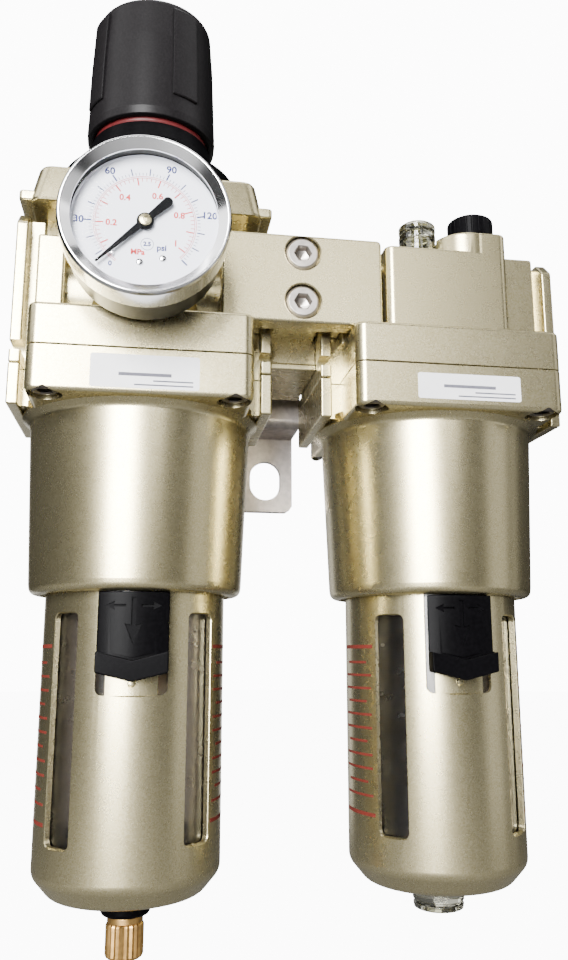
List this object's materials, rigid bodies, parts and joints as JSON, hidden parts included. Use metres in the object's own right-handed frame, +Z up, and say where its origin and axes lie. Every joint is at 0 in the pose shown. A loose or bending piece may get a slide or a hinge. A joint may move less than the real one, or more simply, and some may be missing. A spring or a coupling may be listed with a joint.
{
  "type": "filter regulator lubricator",
  "caption": "Compressed air service set: a filter regulator with gauge and a lubricator, clamped side by side on a slotted wall bracket.",
  "frame": {"origin": "on the flat back of the bracket's tab where it lies against the wall, midway between the two units, just above the fixing slot", "axes": "+Z up, front of the gauge faces -Y, the wall is on the +Y side, air enters at -X and leaves at +X"},
  "size_m": [0.1976, 0.1348, 0.3443],
  "materials": {
    "champagne_paint": "aluminium die casting under fine metallic champagne enamel, satin",
    "black_plastic": "moulded black, satin gloss",
    "red_plastic": "moulded dull red",
    "brass": "machined brass",
    "chrome": "polished chrome plate",
    "gauge_case": "grey painted pressed steel",
    "dial_white": "white enamelled dial",
    "zinc_steel": "zinc plated steel",
    "spring_steel": "bright spring wire",
    "clear_plastic": "clear moulded polycarbonate",
    "rubber": "black nitrile rubber",
    "filter_media": "sintered porous plastic",
    "nylon": "natural moulded nylon"
  },
  "bodies": {
    "root": {"regulator_housing": "champagne_paint", "lubricator_housing": "champagne_paint", "regulator_body": "champagne_paint", "lubricator_body": "champagne_paint", "spacer": "champagne_paint", "front_clamp": "champagne_paint", "rear_clamp": "champagne_paint", "bonnet": "black_plastic", "red_ring": "red_plastic", "gauge_bezel": "chrome", "gauge_case": "gauge_case", "gauge_dial": "dial_white", "regulator_housing_screw_1": "zinc_steel", "regulator_housing_screw_2": "zinc_steel", "regulator_housing_screw_3": "zinc_steel", "regulator_housing_screw_4": "zinc_steel", "lubricator_housing_screw_1": "zinc_steel", "lubricator_housing_screw_2": "zinc_steel", "lubricator_housing_screw_3": "zinc_steel", "lubricator_housing_screw_4": "zinc_steel", "front_clamp_screw_1": "zinc_steel", "front_clamp_screw_2": "zinc_steel", "rear_clamp_screw_1": "zinc_steel", "rear_clamp_screw_2": "zinc_steel", "gauge_port_plug": "zinc_steel", "bracket": "zinc_steel", "main_spring": "spring_steel", "poppet_spring": "spring_steel", "gauge_lens": "clear_plastic", "sight_dome": "clear_plastic", "diaphragm": "rubber", "seal_inlet_side": "rubber", "seal_outlet_side": "rubber", "filter_element": "filter_media", "baffle_stud": "nylon", "deflector": "nylon", "siphon_tube": "nylon", "flow_damper": "nylon"},
    "spindle": {"adjust_spindle": "zinc_steel"},
    "knob": {"adjust_knob": "black_plastic"},
    "spring_seat": {"spring_seat": "brass"},
    "diaphragm_plate": {"diaphragm_plate": "zinc_steel"},
    "poppet": {"valve_poppet": "brass"},
    "pointer": {"gauge_pointer": "black_plastic"},
    "feed_needle": {"feed_needle": "clear_plastic"},
    "fill_plug": {"fill_plug": "black_plastic"},
    "regulator_seal": {"regulator_bowl_seal": "rubber"},
    "regulator_bowl": {"regulator_bowl_guard": "champagne_paint", "regulator_bowl": "clear_plastic", "drain_nut": "black_plastic", "regulator_latch_spring": "spring_steel"},
    "regulator_latch": {"regulator_latch": "black_plastic"},
    "drain_cock": {"drain_cock": "brass"},
    "lubricator_seal": {"lubricator_bowl_seal": "rubber"},
    "lubricator_bowl": {"lubricator_bowl_guard": "champagne_paint", "lubricator_bowl": "clear_plastic", "lubricator_latch_spring": "spring_steel"},
    "lubricator_latch": {"lubricator_latch": "black_plastic"},
    "drain_plug": {"drain_plug": "clear_plastic"}
  },
  "joints": [
    {"name": "adjust_turn", "type": "hinge", "parent": "root", "child": "spindle", "pos_m": [-0.0538, -0.063, 0.1205], "axis": [0, 0, -1], "range_deg": [0, 2880]},
    {"name": "knob_pull", "type": "slide", "parent": "spindle", "child": "knob", "axis": [0, 0, 1], "range_m": [0, 0.004]},
    {"name": "spring_seat_travel", "type": "slide", "parent": "root", "child": "spring_seat", "axis": [0, 0, -1], "range_m": [0, 0.0096], "deforming": ["main_spring"]},
    {"name": "diaphragm_travel", "type": "slide", "parent": "root", "child": "diaphragm_plate", "axis": [0, 0, -1], "range_m": [0, 0.003], "stiffness_N_per_m": 1500, "springref_m": -0.002},
    {"name": "poppet_travel", "type": "slide", "parent": "root", "child": "poppet", "axis": [0, 0, -1], "range_m": [0, 0.003], "deforming": ["poppet_spring"]},
    {"name": "pointer_sweep", "type": "hinge", "parent": "root", "child": "pointer", "pos_m": [-0.0538, -0.129, 0.0385], "axis": [0, 1, 0], "range_deg": [0, 270], "stiffness_Nm_per_rad": 0.0005, "springref_deg": -17.19},
    {"name": "feed_turn", "type": "hinge", "parent": "root", "child": "feed_needle", "pos_m": [0.0447, -0.091, 0.0625], "axis": [0, 0, 1], "range_deg": [0, 1080]},
    {"name": "fill_plug_turn", "type": "hinge", "parent": "root", "child": "fill_plug", "pos_m": [0.0658, -0.09, 0.0625], "axis": [0, 0, 1], "range_deg": [0, 1080]},
    {"name": "regulator_bowl_drop", "type": "slide", "parent": "root", "child": "regulator_seal", "axis": [0, 0, -1], "range_m": [0, 0.05]},
    {"name": "regulator_bowl_turn", "type": "hinge", "parent": "regulator_seal", "child": "regulator_bowl", "pos_m": [-0.0538, -0.063, -0.0495], "axis": [0, 0, 1], "range_deg": [-45, 45]},
    {"name": "regulator_latch_press", "type": "slide", "parent": "regulator_bowl", "child": "regulator_latch", "axis": [0, 0, -1], "range_m": [0, 0.004], "stiffness_N_per_m": 600, "springref_m": -0.003, "deforming": ["regulator_latch_spring"]},
    {"name": "lubricator_bowl_drop", "type": "slide", "parent": "root", "child": "lubricator_seal", "axis": [0, 0, -1], "range_m": [0, 0.05]},
    {"name": "lubricator_bowl_turn", "type": "hinge", "parent": "lubricator_seal", "child": "lubricator_bowl", "pos_m": [0.0538, -0.063, -0.0495], "axis": [0, 0, 1], "range_deg": [-45, 45]},
    {"name": "lubricator_latch_press", "type": "slide", "parent": "lubricator_bowl", "child": "lubricator_latch", "axis": [0, 0, -1], "range_m": [0, 0.004], "stiffness_N_per_m": 600, "springref_m": -0.003, "deforming": ["lubricator_latch_spring"]},
    {"name": "drain_cock_turn", "type": "hinge", "parent": "regulator_bowl", "child": "drain_cock", "pos_m": [-0.0538, -0.063, -0.1795], "axis": [0, 0, 1], "range_deg": [0, 90]},
    {"name": "drain_plug_turn", "type": "hinge", "parent": "lubricator_bowl", "child": "drain_plug", "pos_m": [0.0538, -0.063, -0.1745], "axis": [0, 0, 1], "range_deg": [0, 90]}
  ],
  "couplings": [
    {"joint": "adjust_turn", "follows": "spring_seat_travel", "rad_per_m": 5236},
    {"joint": "poppet_travel", "follows": "diaphragm_travel", "ratio": 1}
  ]
}
